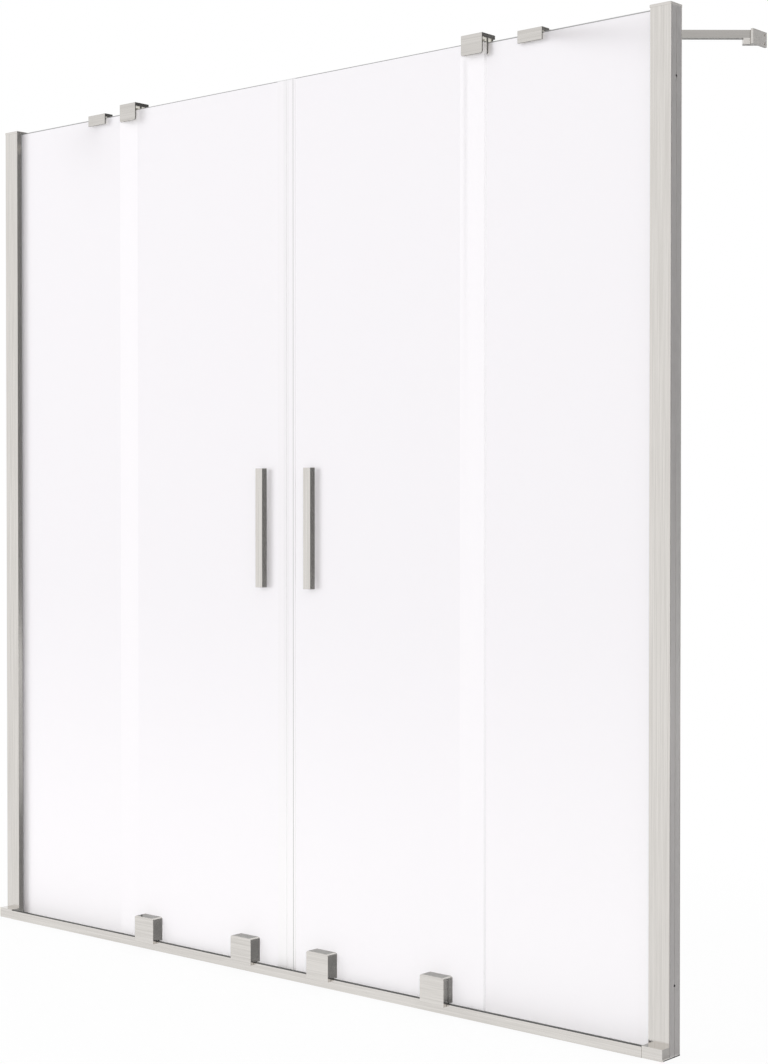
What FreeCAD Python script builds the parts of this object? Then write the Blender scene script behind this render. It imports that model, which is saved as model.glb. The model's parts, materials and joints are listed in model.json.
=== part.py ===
"""Sliding bath screen: two fixed panes at the sides and two sliding doors between them.

Millimetres. X runs along the bath, Y from the room towards the bath and Z up.
The origin is under the rail, halfway along it, in the middle plane of the door glass.
Every piece that comes in pairs is built on the right and mirrored to the left.
"""
import FreeCAD, Part
import math
import os

import Sketcher

doc = FreeCAD.newDocument("SlidingBathScreen")
sheet = doc.addObject("Spreadsheet::Sheet", "Sizes")

DRIVING_SIZES = {
    # The whole screen
    "overall_width": 1500.0,
    "overall_height": 1500.0,
    "glass_thickness": 6.0,
    "fitting_round": 0.6,
    "pane_spacing": 14.0,
    # Wall posts
    "post_width": 35.0,
    "post_depth": 28.0,
    "post_wall": 1.5,
    "glass_bite": 16.0,
    "glazing_gap": 1.5,
    "gasket_lip": 0.3,
    "gasket_lip_tip": 0.5,
    "channel_flange": 30.0,
    "channel_gap": 0.3,
    "wall_hole_radius": 2.0,
    "wall_hole_margin": 103.0,
    "seam_width": 1.0,
    "seam_depth": 0.5,
    "cap_thickness": 4.0,
    "cap_overhang": 0.7,
    "cap_round": 0.6,
    "cap_rib_depth": 8.0,
    "cap_rib_gap": 0.4,
    # Bottom rail, its track and its feet
    "rail_height": 16.0,
    "rail_overhang": 18.0,
    "rail_depth": 8.0,
    "rail_wall": 1.8,
    "rail_top_wall": 2.5,
    "sill_thickness": 2.0,
    "sill_overhang": 2.0,
    "sill_gasket_height": 5.0,
    "track_width": 3.0,
    "track_inset": 1.0,
    "track_rise": 1.2,
    "track_round": 0.4,
    "track_end_gap": 0.5,
    "foot_height": 17.5,
    "foot_round": 0.8,
    "spigot_length": 15.0,
    "spigot_gap": 0.2,
    "pad_thickness": 1.5,
    "pad_setback": 3.0,
    "pad_overhang": 0.6,
    # Glass panes
    "fixed_inner_edge": 370.0,
    "fixed_top_gap": 4.5,
    "door_inner_edge": 9.5,
    "door_outer_edge": 417.0,
    "door_bottom": 8.0,
    "door_top_gap": 5.0,
    # Seals
    "closing_gap": 0.3,
    "closing_leg": 10.5,
    "closing_leg_thickness": 1.2,
    "closing_wall": 1.0,
    "closing_web": 3.0,
    "magnet_gap": 0.2,
    "magnet_end_gap": 2.0,
    "overlap_leg": 19.0,
    "overlap_thickness": 1.2,
    "overlap_fin_root": 3.5,
    "overlap_fin_lean": 3.0,
    "overlap_fin_gap": 0.5,
    "overlap_end_gap": 1.0,
    "wiper_flange": 1.5,
    "wiper_fin": 1.2,
    "wiper_gap": 0.5,
    # Handles
    "handle_centre": 55.3,
    "handle_level": 750.0,
    "handle_width": 15.6,
    "handle_depth": 11.5,
    "handle_height": 200.0,
    "stud_radius": 2.5,
    "stud_spacing": 150.0,
    "stud_depth": 7.0,
    "stud_gap": 0.05,
    "stud_glass_gap": 0.5,
    # Door carriages and rollers
    "carriage_inner_centre": 88.6,
    "carriage_outer_centre": 331.8,
    "carriage_width": 48.0,
    "carriage_reach": 25.5,
    "carriage_top": 57.5,
    "carriage_lip_bottom": 12.5,
    "carriage_round": 3.5,
    "cover_wall": 2.5,
    "cover_front_wall": 4.5,
    "lip_gap": 0.6,
    "rail_gap": 0.5,
    "track_side_gap": 1.0,
    "carriage_lift": 0.8,
    "body_gap": 0.1,
    "roller_radius": 8.0,
    "roller_flange": 1.2,
    "roller_width": 7.0,
    "roller_groove": 4.0,
    "roller_lift": 0.3,
    "roller_side_gap": 0.8,
    "roller_rim_gap": 1.8,
    "axle_radius": 2.5,
    "axle_seat": 2.5,
    "running_gap": 0.05,
    "bolt_radius": 3.0,
    "bolt_head_radius": 6.0,
    "bolt_head_depth": 3.0,
    "bolt_spacing": 28.0,
    "bolt_level": 46.0,
    "bolt_length": 13.0,
    "bolt_gap": 0.1,
    "bolt_key_radius": 2.0,
    "bolt_key_depth": 2.0,
    # Top guides
    "guide_centre": 394.1,
    "guide_width": 41.0,
    "guide_reach": 6.0,
    "guide_back": 27.0,
    "guide_rise": 8.0,
    "guide_height": 31.0,
    "guide_front_plate": 2.0,
    "guide_top_plate": 6.0,
    "guide_middle_leg": 3.5,
    "guide_back_leg": 4.5,
    "guide_corner": 3.0,
    "liner_thickness": 1.0,
    "liner_inset": 1.0,
    "door_liner_base": 3.5,
    "door_liner_gap": 0.4,
    # Stabilisers
    "clamp_centre": 494.5,
    "clamp_width": 45.8,
    "clamp_rise": 3.0,
    "clamp_height": 19.0,
    "clamp_front_plate": 2.0,
    "clamp_top_plate": 5.5,
    "clamp_back_leg": 9.0,
    "bar_size": 12.0,
    "bar_rise": 1.0,
    "bracket_reach": 240.0,
    "bracket_rise": 2.5,
    "bracket_height": 22.5,
    "bracket_near": 16.0,
    "bracket_far": 24.0,
    "bracket_plate": 4.0,
    "saddle_length": 24.0,
    "saddle_round": 1.5,
    "bracket_hole_radius": 2.0,
    "bracket_hole_spacing": 13.0,
    "bracket_hole_offset": 17.0,
    # Set screws of the guides, clamps and brackets
    "set_screw_radius": 2.5,
    "set_screw_gap": 0.05,
    "guide_screw_spacing": 22.0,
    "guide_screw_level": 10.0,
    "clamp_screw_offset": 14.0,
    "saddle_screw_setback": 16.0,
    "saddle_screw_bite": 6.0,
}

TINY = 0.01
NODES = []


class Size:
    """A number together with the sheet formula that gives it."""

    def __init__(self, value, formula):
        self.value = value
        self.formula = formula

    def __add__(self, other):
        other = as_size(other)
        return Size(self.value + other.value, f"({self.formula} + {other.formula})")

    def __radd__(self, other):
        return as_size(other) + self

    def __sub__(self, other):
        other = as_size(other)
        return Size(self.value - other.value, f"({self.formula} - {other.formula})")

    def __rsub__(self, other):
        return as_size(other) - self

    def __mul__(self, other):
        other = as_size(other)
        return Size(self.value * other.value, f"({self.formula} * {other.formula})")

    def __truediv__(self, other):
        other = as_size(other)
        return Size(self.value / other.value, f"({self.formula} / {other.formula})")

    def __neg__(self):
        return Size(-self.value, f"(0 - {self.formula})")


def as_size(amount):
    """Take a plain number for a size."""
    if isinstance(amount, Size):
        return amount
    return Size(amount, str(amount))


def slope_angle(rise, run):
    """The angle of a line in degrees."""
    degrees = math.degrees(math.atan2(rise.value, run.value))
    return Size(degrees, f"atan({rise.formula} / {run.formula})")


def sine(angle):
    return Size(math.sin(math.radians(angle.value)), f"sin({angle.formula})")


def cosine(angle):
    return Size(math.cos(math.radians(angle.value)), f"cos({angle.formula})")


class Sizes:
    """The driving sizes by name, each bound to its cell."""


def fill_sheet(table):
    """Write the driving sizes in the sheet and hand them out by name."""
    named = Sizes()
    for row, (alias, number) in enumerate(table.items(), start=1):
        sheet.set(f"A{row}", alias)
        sheet.set(f"B{row}", str(number))
        sheet.setAlias(f"B{row}", alias)
        setattr(named, alias, Size(number, f"Sizes.{alias}"))
    doc.recompute()
    return named


def bind(thing, prop, amount):
    """Tie a property to the sheet."""
    thing.setExpression(prop, as_size(amount).formula)


def about(centre, width):
    """The two ends of a width about its centre."""
    return (as_size(centre) - width / 2, as_size(centre) + width / 2)


def block(name, x, y, z):
    """A rectangular block between low and high coordinates."""
    box = doc.addObject("Part::Box", name)
    for prop, axis, (low, high) in zip(("Length", "Width", "Height"), "xyz", (x, y, z)):
        bind(box, prop, as_size(high) - low)
        bind(box, f"Placement.Base.{axis}", low)
    return box


TURNS = {
    "x": FreeCAD.Rotation(FreeCAD.Vector(0, 1, 0), 90),
    "y": FreeCAD.Rotation(FreeCAD.Vector(1, 0, 0), -90),
    "z": FreeCAD.Rotation(),
}


def stand(solid, axis, start):
    """Turn a solid from Z to the named axis and put its start in place."""
    solid.Placement = FreeCAD.Placement(FreeCAD.Vector(), TURNS[axis])
    for letter, amount in zip("xyz", start):
        bind(solid, f"Placement.Base.{letter}", amount)
    return solid


def rod(name, axis, start, length, radius):
    """A round rod from its start along an axis."""
    cylinder = doc.addObject("Part::Cylinder", name)
    bind(cylinder, "Radius", radius)
    bind(cylinder, "Height", length)
    return stand(cylinder, axis, start)


def taper(name, axis, start, length, start_radius, end_radius):
    """A cone's frustum from its start along an axis."""
    cone = doc.addObject("Part::Cone", name)
    bind(cone, "Radius1", start_radius)
    bind(cone, "Radius2", end_radius)
    bind(cone, "Height", length)
    return stand(cone, axis, start)


def fuse(name, *pieces):
    joined = doc.addObject("Part::MultiFuse", name)
    joined.Shapes = list(pieces)
    joined.Refine = True
    return joined


def cut(name, base, *tools):
    """A piece with one or more shapes taken out of it."""
    result = doc.addObject("Part::Cut", name)
    result.Base = base
    result.Tool = tools[0] if len(tools) == 1 else fuse(name + "_tools", *tools)
    return result


def group(name, *pieces):
    """Separate solids that share one node."""
    bundle = doc.addObject("Part::Compound", name)
    bundle.Links = list(pieces)
    return bundle


def mirror(name, piece):
    copy = doc.addObject("Part::Mirroring", name)
    copy.Source = piece
    copy.Normal = FreeCAD.Vector(1, 0, 0)
    return copy


def draw(sketch, corners):
    """Draw a closed outline whose corners are each tied to the sheet."""
    root, start, end = -1, 1, 2
    first = sketch.GeometryCount
    count = len(corners)
    points = [FreeCAD.Vector(as_size(a).value, as_size(b).value, 0) for a, b in corners]
    for index in range(count):
        sketch.addGeometry(Part.LineSegment(points[index], points[(index + 1) % count]), False)
    for index in range(count):
        meeting = (first + index, end, first + (index + 1) % count, start)
        sketch.addConstraint(Sketcher.Constraint("Coincident", *meeting))
    for index, corner in enumerate(corners):
        for kind, amount in zip(("DistanceX", "DistanceY"), corner):
            amount = as_size(amount)
            distance = (root, start, first + index, start, amount.value)
            number = sketch.addConstraint(Sketcher.Constraint(kind, *distance))
            sketch.setExpression(f"Constraints[{number}]", amount.formula)


def extrusion(name, plane, span, outline, *hollows):
    """A section drawn on an origin plane and extended over a span of its normal."""
    body = doc.addObject("PartDesign::Body", name)
    sketch = body.newObject("Sketcher::SketchObject", name + "_section")
    support = [feature for feature in body.Origin.OriginFeatures if feature.Role == plane]
    sketch.AttachmentSupport = [(support[0], "")]
    sketch.MapMode = "FlatFace"
    bind(sketch, "AttachmentOffset.Base.z", span[0])
    for corners in (outline, *hollows):
        draw(sketch, corners)
    pad = body.newObject("PartDesign::Pad", name + "_pad")
    pad.Profile = sketch
    bind(pad, "Length", as_size(span[1]) - span[0])
    return body


def along_z(name, span, outline, *hollows):
    """A section in X and Y that runs upwards."""
    return extrusion(name, "XY_Plane", span, outline, *hollows)


def along_x(name, span, outline, *hollows):
    """A section in Y and Z that runs along the bath."""
    return extrusion(name, "YZ_Plane", span, outline, *hollows)


def rectangle(across, up):
    return [
        (across[0], up[0]),
        (across[1], up[0]),
        (across[1], up[1]),
        (across[0], up[1]),
    ]


def edges_in_planes(shape, planes):
    """The names of a shape's edges that lie in all the given planes, such as y at one or two values."""
    chosen = []
    for number, edge in enumerate(shape.Edges, start=1):
        bounds = edge.BoundBox
        lows = {"x": bounds.XMin, "y": bounds.YMin, "z": bounds.ZMin}
        highs = {"x": bounds.XMax, "y": bounds.YMax, "z": bounds.ZMax}
        lies_in = all(
            any(max(abs(lows[axis] - at.value), abs(highs[axis] - at.value)) < TINY for at in places)
            for axis, places in planes.items()
        )
        if lies_in:
            chosen.append(f"Edge{number}")
    return chosen


def round_edges(body, radius, **planes):
    """Round a body's edges that lie in all the given planes."""
    doc.recompute()
    tip = body.Tip
    fillet = body.newObject("PartDesign::Fillet", f"{body.Name}_round")
    fillet.Base = (tip, edges_in_planes(tip.Shape, planes))
    bind(fillet, "Radius", radius)
    doc.recompute()
    return body


def keep(piece):
    """Count a finished piece as a node."""
    piece.Label = piece.Name
    NODES.append(piece)
    return piece


def keep_pair(right):
    """Count a finished right-hand piece and its mirror image as nodes."""
    keep(right)
    return keep(mirror(right.Name.replace("_right", "_left"), right))


s = fill_sheet(DRIVING_SIZES)

# Planes that several pieces share
half_width = s.overall_width / 2
door_front = -s.glass_thickness / 2
door_back = s.glass_thickness / 2
fixed_front = s.pane_spacing - s.glass_thickness / 2
fixed_back = s.pane_spacing + s.glass_thickness / 2
pocket_front = fixed_front - s.glazing_gap
pocket_back = fixed_back + s.glazing_gap
post_inner = half_width - s.post_width
post_front = s.pane_spacing - s.post_depth / 2
post_back = s.pane_spacing + s.post_depth / 2
post_top = s.overall_height - s.cap_thickness
glass_outer = post_inner + s.glass_bite
pocket_end = glass_outer + s.glazing_gap
fixed_top = s.overall_height - s.fixed_top_gap
fixed_bottom = s.sill_thickness + s.glazing_gap
sill_gasket_top = s.sill_thickness + s.sill_gasket_height
door_top = s.overall_height - s.door_top_gap
door_span = (s.door_inner_edge, s.door_outer_edge)
rail_front = -s.rail_overhang
rail_back = rail_front + s.rail_depth
sill_back = pocket_back + s.sill_overhang
track_centre = rail_front + s.rail_depth / 2
track_top = s.rail_height + s.track_rise
rail_chamber = (rail_front + s.rail_wall, rail_back - s.rail_wall)
rail_chamber_height = (s.rail_wall, s.rail_height - s.rail_top_wall)
liner_front = fixed_front - s.liner_thickness
liner_back = fixed_back + s.liner_thickness
guide_top = s.overall_height + s.guide_rise
guide_bottom = guide_top - s.guide_height
guide_roof = guide_top - s.guide_top_plate
guide_span = about(s.guide_centre, s.guide_width)
clamp_top = s.overall_height + s.clamp_rise
clamp_bottom = clamp_top - s.clamp_height
clamp_roof = clamp_top - s.clamp_top_plate
clamp_span = about(s.clamp_centre, s.clamp_width)
clamp_back = liner_back + s.clamp_back_leg
roller_level = track_top + s.roller_lift + s.roller_radius
carriage_front = -s.carriage_reach
cavity_front = carriage_front + s.cover_front_wall
carriage_bottom = track_top + s.carriage_lift


def bottom_rail():
    """Slim hollow rail in front of the doors, with a low sill under the panes behind it."""
    slot = about(track_centre, s.track_width)
    slot_floor = s.rail_height - s.track_inset
    outline = [
        (rail_front, 0),
        (sill_back, 0),
        (sill_back, s.sill_thickness),
        (rail_back, s.sill_thickness),
        (rail_back, s.rail_height),
        (slot[1], s.rail_height),
        (slot[1], slot_floor),
        (slot[0], slot_floor),
        (slot[0], s.rail_height),
        (rail_front, s.rail_height),
    ]
    hollow = rectangle(rail_chamber, rail_chamber_height)
    return along_x("bottom_rail", (-post_inner, post_inner), outline, hollow)


def roller_track():
    """Steel strip in the rail's top that the rollers run on."""
    end = post_inner - s.track_end_gap
    across = about(track_centre, s.track_width)
    up = (s.rail_height - s.track_inset, track_top)
    body = along_x("roller_track", (-end, end), rectangle(across, up))
    return round_edges(body, s.track_round, y=across, z=(track_top,))


def rail_foot():
    """Block in front of a post that closes the end of the rail, with a spigot in it."""
    outline = rectangle((post_inner, half_width), (rail_front, post_front))
    shell = along_z("rail_foot_shell", (0, s.foot_height), outline)
    round_edges(shell, s.foot_round, y=(rail_front,))
    spigot = block(
        "rail_foot_spigot",
        (post_inner - s.spigot_length, post_inner + s.rail_wall),
        (rail_chamber[0] + s.spigot_gap, rail_chamber[1] - s.spigot_gap),
        (rail_chamber_height[0] + s.spigot_gap, rail_chamber_height[1] - s.spigot_gap),
    )
    whole = fuse("rail_foot_whole", shell, spigot)
    pad_seat = block(
        "rail_foot_pad_seat",
        (post_inner + s.pad_setback, half_width),
        (rail_front + s.pad_setback, post_front),
        (0, s.pad_thickness),
    )
    return cut("rail_foot_right", whole, pad_seat)


def foot_pad():
    """Sealing pad under a post, let into the underside of its foot."""
    return block(
        "foot_pad_right",
        (post_inner + s.pad_setback, half_width),
        (rail_front + s.pad_setback, post_back + s.pad_overhang),
        (0, s.pad_thickness),
    )


def wall_channel():
    """Channel screwed to the wall, with its flanges inside the post profile."""
    outer = (post_front + s.post_wall + s.channel_gap, post_back - s.post_wall - s.channel_gap)
    inner = (outer[0] + s.post_wall, outer[1] - s.post_wall)
    tip = half_width - s.channel_flange
    web = half_width - s.post_wall
    outline = [
        (half_width, outer[0]),
        (half_width, outer[1]),
        (tip, outer[1]),
        (tip, inner[1]),
        (web, inner[1]),
        (web, inner[0]),
        (tip, inner[0]),
        (tip, outer[0]),
    ]
    channel = along_z("wall_channel_section", (s.pad_thickness, post_top), outline)
    seam = block(
        "wall_channel_seam",
        (half_width - s.seam_depth, half_width),
        about(s.pane_spacing, s.seam_width),
        (s.pad_thickness, post_top),
    )
    holes = []
    for number, level in enumerate((s.wall_hole_margin, s.overall_height - s.wall_hole_margin)):
        start = (web, s.pane_spacing, level)
        holes.append(rod(f"wall_channel_hole_{number}", "x", start, s.post_wall, s.wall_hole_radius))
    return cut("wall_channel_right", channel, seam, *holes)


def post_profile():
    """Visible post: slides over the wall channel and holds the fixed pane in a pocket."""
    wall = s.post_wall
    outline = [
        (half_width, post_front),
        (half_width, post_front + wall),
        (post_inner + wall, post_front + wall),
        (post_inner + wall, pocket_front - wall),
        (pocket_end + wall, pocket_front - wall),
        (pocket_end + wall, pocket_back + wall),
        (post_inner + wall, pocket_back + wall),
        (post_inner + wall, post_back - wall),
        (half_width, post_back - wall),
        (half_width, post_back),
        (post_inner, post_back),
        (post_inner, pocket_back),
        (pocket_end, pocket_back),
        (pocket_end, pocket_front),
        (post_inner, pocket_front),
        (post_inner, post_front),
    ]
    return along_z("post_profile_right", (s.pad_thickness, post_top), outline)


def post_cap():
    """Thin lid on a post, with two ribs down into it."""
    across = (post_inner - s.cap_overhang, half_width)
    deep = (post_front - s.cap_overhang, post_back + s.cap_overhang)
    lid = along_z("post_cap_lid", (post_top, s.overall_height), rectangle(across, deep))
    round_edges(lid, s.cap_round, z=(s.overall_height,))
    rib_across = (half_width - s.channel_flange, half_width - s.post_wall - s.cap_rib_gap)
    flange = s.post_wall * 2 + s.channel_gap + s.cap_rib_gap
    pocket_wall = s.post_wall + s.cap_rib_gap
    rib_places = (
        (post_front + flange, pocket_front - pocket_wall),
        (pocket_back + pocket_wall, post_back - flange),
    )
    ribs = []
    for number, rib_deep in enumerate(rib_places):
        up = (post_top - s.cap_rib_depth, post_top)
        ribs.append(block(f"post_cap_rib_{number}", rib_across, rib_deep, up))
    return fuse("post_cap_right", lid, *ribs)


def glazing_gasket():
    """Clear gasket round the glass edge in the post, with a lip on each face of the glass."""
    lip = post_inner - s.gasket_lip
    outline = [
        (pocket_end, pocket_front),
        (post_inner, pocket_front),
        (lip, fixed_front - s.gasket_lip_tip),
        (lip, fixed_front),
        (glass_outer, fixed_front),
        (glass_outer, fixed_back),
        (lip, fixed_back),
        (lip, fixed_back + s.gasket_lip_tip),
        (post_inner, pocket_back),
        (pocket_end, pocket_back),
    ]
    return along_z("glazing_gasket_right", (sill_gasket_top, fixed_top), outline)


def fixed_glass():
    return block(
        "fixed_glass_right",
        (s.fixed_inner_edge, glass_outer),
        (fixed_front, fixed_back),
        (fixed_bottom, fixed_top),
    )


def sill_gasket():
    """Clear gasket round the bottom edge of the fixed pane, on the sill."""
    outline = [
        (pocket_front, s.sill_thickness),
        (pocket_back, s.sill_thickness),
        (pocket_back, sill_gasket_top),
        (fixed_back, sill_gasket_top),
        (fixed_back, fixed_bottom),
        (fixed_front, fixed_bottom),
        (fixed_front, sill_gasket_top),
        (pocket_front, sill_gasket_top),
    ]
    return along_x("sill_gasket_right", (s.fixed_inner_edge, post_inner), outline)


def overlap_seal():
    """Clear seal on the fixed pane's inner edge, with a fin towards the door."""
    edge = s.fixed_inner_edge
    nose = edge - s.overlap_thickness
    tip = edge + s.overlap_leg
    front = fixed_front - s.overlap_thickness
    back = fixed_back + s.overlap_thickness
    fin_tip = door_back + s.overlap_fin_gap
    fin_root = edge + s.overlap_fin_root
    fin_end = fin_root - s.overlap_fin_lean
    outline = [
        (nose, back),
        (nose, front),
        (fin_root, front),
        (fin_end, fin_tip),
        (fin_end + s.overlap_thickness, fin_tip),
        (fin_root + s.overlap_thickness, front),
        (tip, front),
        (tip, fixed_front),
        (edge, fixed_front),
        (edge, fixed_back),
        (tip, fixed_back),
        (tip, back),
    ]
    span = (sill_gasket_top + s.overlap_end_gap, guide_bottom - s.overlap_end_gap)
    return along_z("overlap_seal_right", span, outline)


def set_screw_holes(places, axis, length):
    """Holes for set screws that start at the given places."""
    radius = s.set_screw_radius + s.set_screw_gap
    return [rod(f"{name}_hole", axis, start, length, radius) for name, start in places]


def guide_screw_places():
    level = guide_bottom + s.guide_screw_level
    places = about(s.guide_centre, s.guide_screw_spacing)
    return [(f"guide_screw_{number}", (x, liner_back, level)) for number, x in enumerate(places)]


def clamp_screw_places():
    level = (clamp_bottom + clamp_roof) / 2
    return [("clamp_screw", (s.clamp_centre - s.clamp_screw_offset, liner_back, level))]


def top_guide():
    """Bracket clamped to the fixed pane; its front channel guides the top of the door."""
    front = -s.guide_reach
    plate = front + s.guide_front_plate
    leg_back = liner_back + s.guide_back_leg
    middle = liner_front - s.guide_middle_leg
    outline = [
        (front, guide_bottom),
        (plate, guide_bottom),
        (plate, guide_roof),
        (middle, guide_roof),
        (middle, guide_bottom),
        (liner_front, guide_bottom),
        (liner_front, guide_roof),
        (liner_back, guide_roof),
        (liner_back, guide_bottom),
        (leg_back, guide_bottom),
        (leg_back, guide_roof),
        (s.guide_back, guide_roof),
        (s.guide_back, guide_top),
        (front, guide_top),
    ]
    bracket = along_x("top_guide_bracket", guide_span, outline)
    round_edges(bracket, s.guide_corner, x=guide_span, z=(guide_bottom,))
    round_edges(bracket, s.fitting_round, y=(front,))
    holes = set_screw_holes(guide_screw_places(), "y", s.guide_back_leg)
    return cut("top_guide_right", bracket, *holes)


def door_guide_liner():
    """Plastic lining of the channel that the door's top edge runs in."""
    outer = (s.guide_front_plate - s.guide_reach, liner_front - s.guide_middle_leg)
    inner = (door_front - s.door_liner_gap, door_back + s.door_liner_gap)
    foot = guide_bottom + s.liner_inset
    base = guide_roof - s.door_liner_base
    outline = [
        (outer[0], foot),
        (inner[0], foot),
        (inner[0], base),
        (inner[1], base),
        (inner[1], foot),
        (outer[1], foot),
        (outer[1], guide_roof),
        (outer[0], guide_roof),
    ]
    span = (guide_span[0] + s.liner_inset, guide_span[1] - s.liner_inset)
    return along_x("door_guide_liner_right", span, outline)


def glass_liner(name, span, bottom, roof):
    """Soft lining between a bracket and the top edge of the fixed pane."""
    outline = [
        (liner_front, bottom + s.liner_inset),
        (fixed_front, bottom + s.liner_inset),
        (fixed_front, fixed_top),
        (fixed_back, fixed_top),
        (fixed_back, bottom + s.liner_inset),
        (liner_back, bottom + s.liner_inset),
        (liner_back, roof),
        (liner_front, roof),
    ]
    inset_span = (span[0] + s.liner_inset, span[1] - s.liner_inset)
    return along_x(name, inset_span, outline)


def stabiliser_clamp():
    """Clamp on the fixed pane's top edge that carries the stabiliser bar."""
    front = liner_front - s.clamp_front_plate
    outline = [
        (front, clamp_bottom),
        (liner_front, clamp_bottom),
        (liner_front, clamp_roof),
        (liner_back, clamp_roof),
        (liner_back, clamp_bottom),
        (clamp_back, clamp_bottom),
        (clamp_back, clamp_top),
        (front, clamp_top),
    ]
    clamp = along_x("stabiliser_clamp_body", clamp_span, outline)
    round_edges(clamp, s.fitting_round, y=(front,))
    holes = set_screw_holes(clamp_screw_places(), "y", s.clamp_back_leg)
    return cut("stabiliser_clamp_right", clamp, *holes)


# The bar runs from the clamp's middle to the wall, level with the top of the glass
bar_run = half_width - s.clamp_centre
bar_depth = s.bracket_reach - s.pane_spacing
bar_angle = slope_angle(bar_depth, bar_run)
bar_top = s.overall_height + s.bar_rise
bar_bottom = bar_top - s.bar_size
bracket_top = s.overall_height + s.bracket_rise
bracket_bottom = bracket_top - s.bracket_height
bracket_face = half_width - s.bracket_plate
saddle_screw_length = bar_bottom + s.saddle_screw_bite - bracket_bottom


def on_bar_line(name, span, width, up):
    """A square-edged piece along the bar's line, measured from where the line meets the wall."""
    body = along_x(name, span, rectangle(about(0, width), up))
    body.Placement.Rotation = FreeCAD.Rotation(FreeCAD.Vector(0, 0, 1), 1)
    bind(body, "Placement.Rotation.Angle", bar_angle)
    bind(body, "Placement.Base.x", half_width)
    bind(body, "Placement.Base.y", s.bracket_reach)
    return body


def wall_side(name, face):
    """All that lies beyond a face parallel to the wall, near the bracket."""
    around = s.bracket_near + s.bracket_far
    deep = (s.bracket_reach - around, s.bracket_reach + around)
    return block(name, (face, half_width + around), deep, (bracket_bottom - around, bracket_top + around))


def clamp_side(name):
    """All that lies in front of the clamp's back face."""
    across = (s.clamp_centre - s.clamp_width, s.clamp_centre + s.clamp_width)
    up = (bar_bottom - s.bar_size, bar_top + s.bar_size)
    return block(name, across, (-s.clamp_width, clamp_back), up)


def stabiliser_bar():
    """Square bar between the clamp's back face and the wall bracket's plate."""
    span = (-bar_run / cosine(bar_angle), s.bracket_far)
    bar = on_bar_line("stabiliser_bar_stock", span, s.bar_size, (bar_bottom, bar_top))
    clamp_end = clamp_side("bar_clamp_end")
    wall_end = wall_side("bar_wall_end", bracket_face)
    holes = set_screw_holes(saddle_screw_places(), "z", saddle_screw_length)
    return cut("stabiliser_bar_right", bar, clamp_end, wall_end, *holes)


def saddle_screw_places():
    """Where the screw from the bracket's saddle into the bar starts."""
    x = half_width - cosine(bar_angle) * s.saddle_screw_setback
    y = s.bracket_reach - sine(bar_angle) * s.saddle_screw_setback
    return [("saddle_screw", (x, y, bracket_bottom))]


def wall_bracket():
    """Wall plate with a saddle under the end of the bar."""
    deep = (s.bracket_reach - s.bracket_near, s.bracket_reach + s.bracket_far)
    plate = block("wall_bracket_plate", (bracket_face, half_width), deep, (bracket_bottom, bracket_top))
    saddle_span = (-s.saddle_length, s.bracket_far)
    saddle_up = (bracket_bottom, bar_bottom)
    saddle_stock = on_bar_line("wall_bracket_saddle_stock", saddle_span, s.bar_size, saddle_up)
    round_edges(saddle_stock, s.saddle_round, x=(saddle_span[0],), z=(bracket_bottom,))
    saddle = cut("wall_bracket_saddle", saddle_stock, wall_side("saddle_wall_end", bracket_face))
    whole = fuse("wall_bracket_whole", plate, saddle)
    middle = (bracket_bottom + bracket_top) / 2
    holes = []
    for number, level in enumerate(about(middle, s.bracket_hole_spacing)):
        start = (bracket_face, s.bracket_reach + s.bracket_hole_offset, level)
        label = f"wall_bracket_hole_{number}"
        holes.append(rod(label, "x", start, s.bracket_plate, s.bracket_hole_radius))
    holes += set_screw_holes(saddle_screw_places(), "z", saddle_screw_length)
    return cut("wall_bracket_right", whole, *holes)


def set_screws():
    """Headless screws that clamp the guides, the clamps and the bars, on both sides."""
    radius = s.set_screw_radius
    screws = [rod(name, "y", start, s.guide_back_leg, radius) for name, start in guide_screw_places()]
    screws += [rod(name, "y", start, s.clamp_back_leg, radius) for name, start in clamp_screw_places()]
    screws += [rod(name, "z", start, saddle_screw_length, radius) for name, start in saddle_screw_places()]
    return screws


def on_both_sides(name, pieces):
    """One node that holds the given right-hand pieces and their mirror images."""
    right = group(name + "_of_right", *pieces)
    left = mirror(name + "_of_left", right)
    return group(name, right, left)


def handle_stud_places():
    return about(s.handle_level, s.stud_spacing)


def bolt_places(centre):
    return [(x, s.bolt_level) for x in about(centre, s.bolt_spacing)]


CARRIAGES = (("inner", s.carriage_inner_centre), ("outer", s.carriage_outer_centre))


def door_glass():
    """Door pane with holes for the handle studs and countersunk holes for the carriage bolts."""
    pane = block("door_glass_pane", door_span, (door_front, door_back), (s.door_bottom, door_top))
    holes = []
    for number, level in enumerate(handle_stud_places()):
        start = (s.handle_centre, door_front, level)
        radius = s.stud_radius + s.stud_glass_gap
        holes.append(rod(f"door_glass_stud_hole_{number}", "y", start, s.glass_thickness, radius))
    for name, centre in CARRIAGES:
        for number, (x, level) in enumerate(bolt_places(centre)):
            radius = s.bolt_radius + s.bolt_gap
            head_radius = s.bolt_head_radius + s.bolt_gap
            sink = (x, door_back - s.bolt_head_depth, level)
            label = f"door_glass_{name}_{number}"
            holes.append(rod(label + "_hole", "y", (x, door_front, level), s.glass_thickness, radius))
            holes.append(taper(label + "_sink", "y", sink, s.bolt_head_depth, radius, head_radius))
    return cut("door_glass_right", pane, *holes)


# The closing seal's chamber, which holds the magnet strip
chamber_across = (s.closing_gap + s.closing_wall, s.door_inner_edge - s.closing_web)
chamber_half = s.glass_thickness / 2 + s.closing_leg_thickness - s.closing_wall


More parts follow.
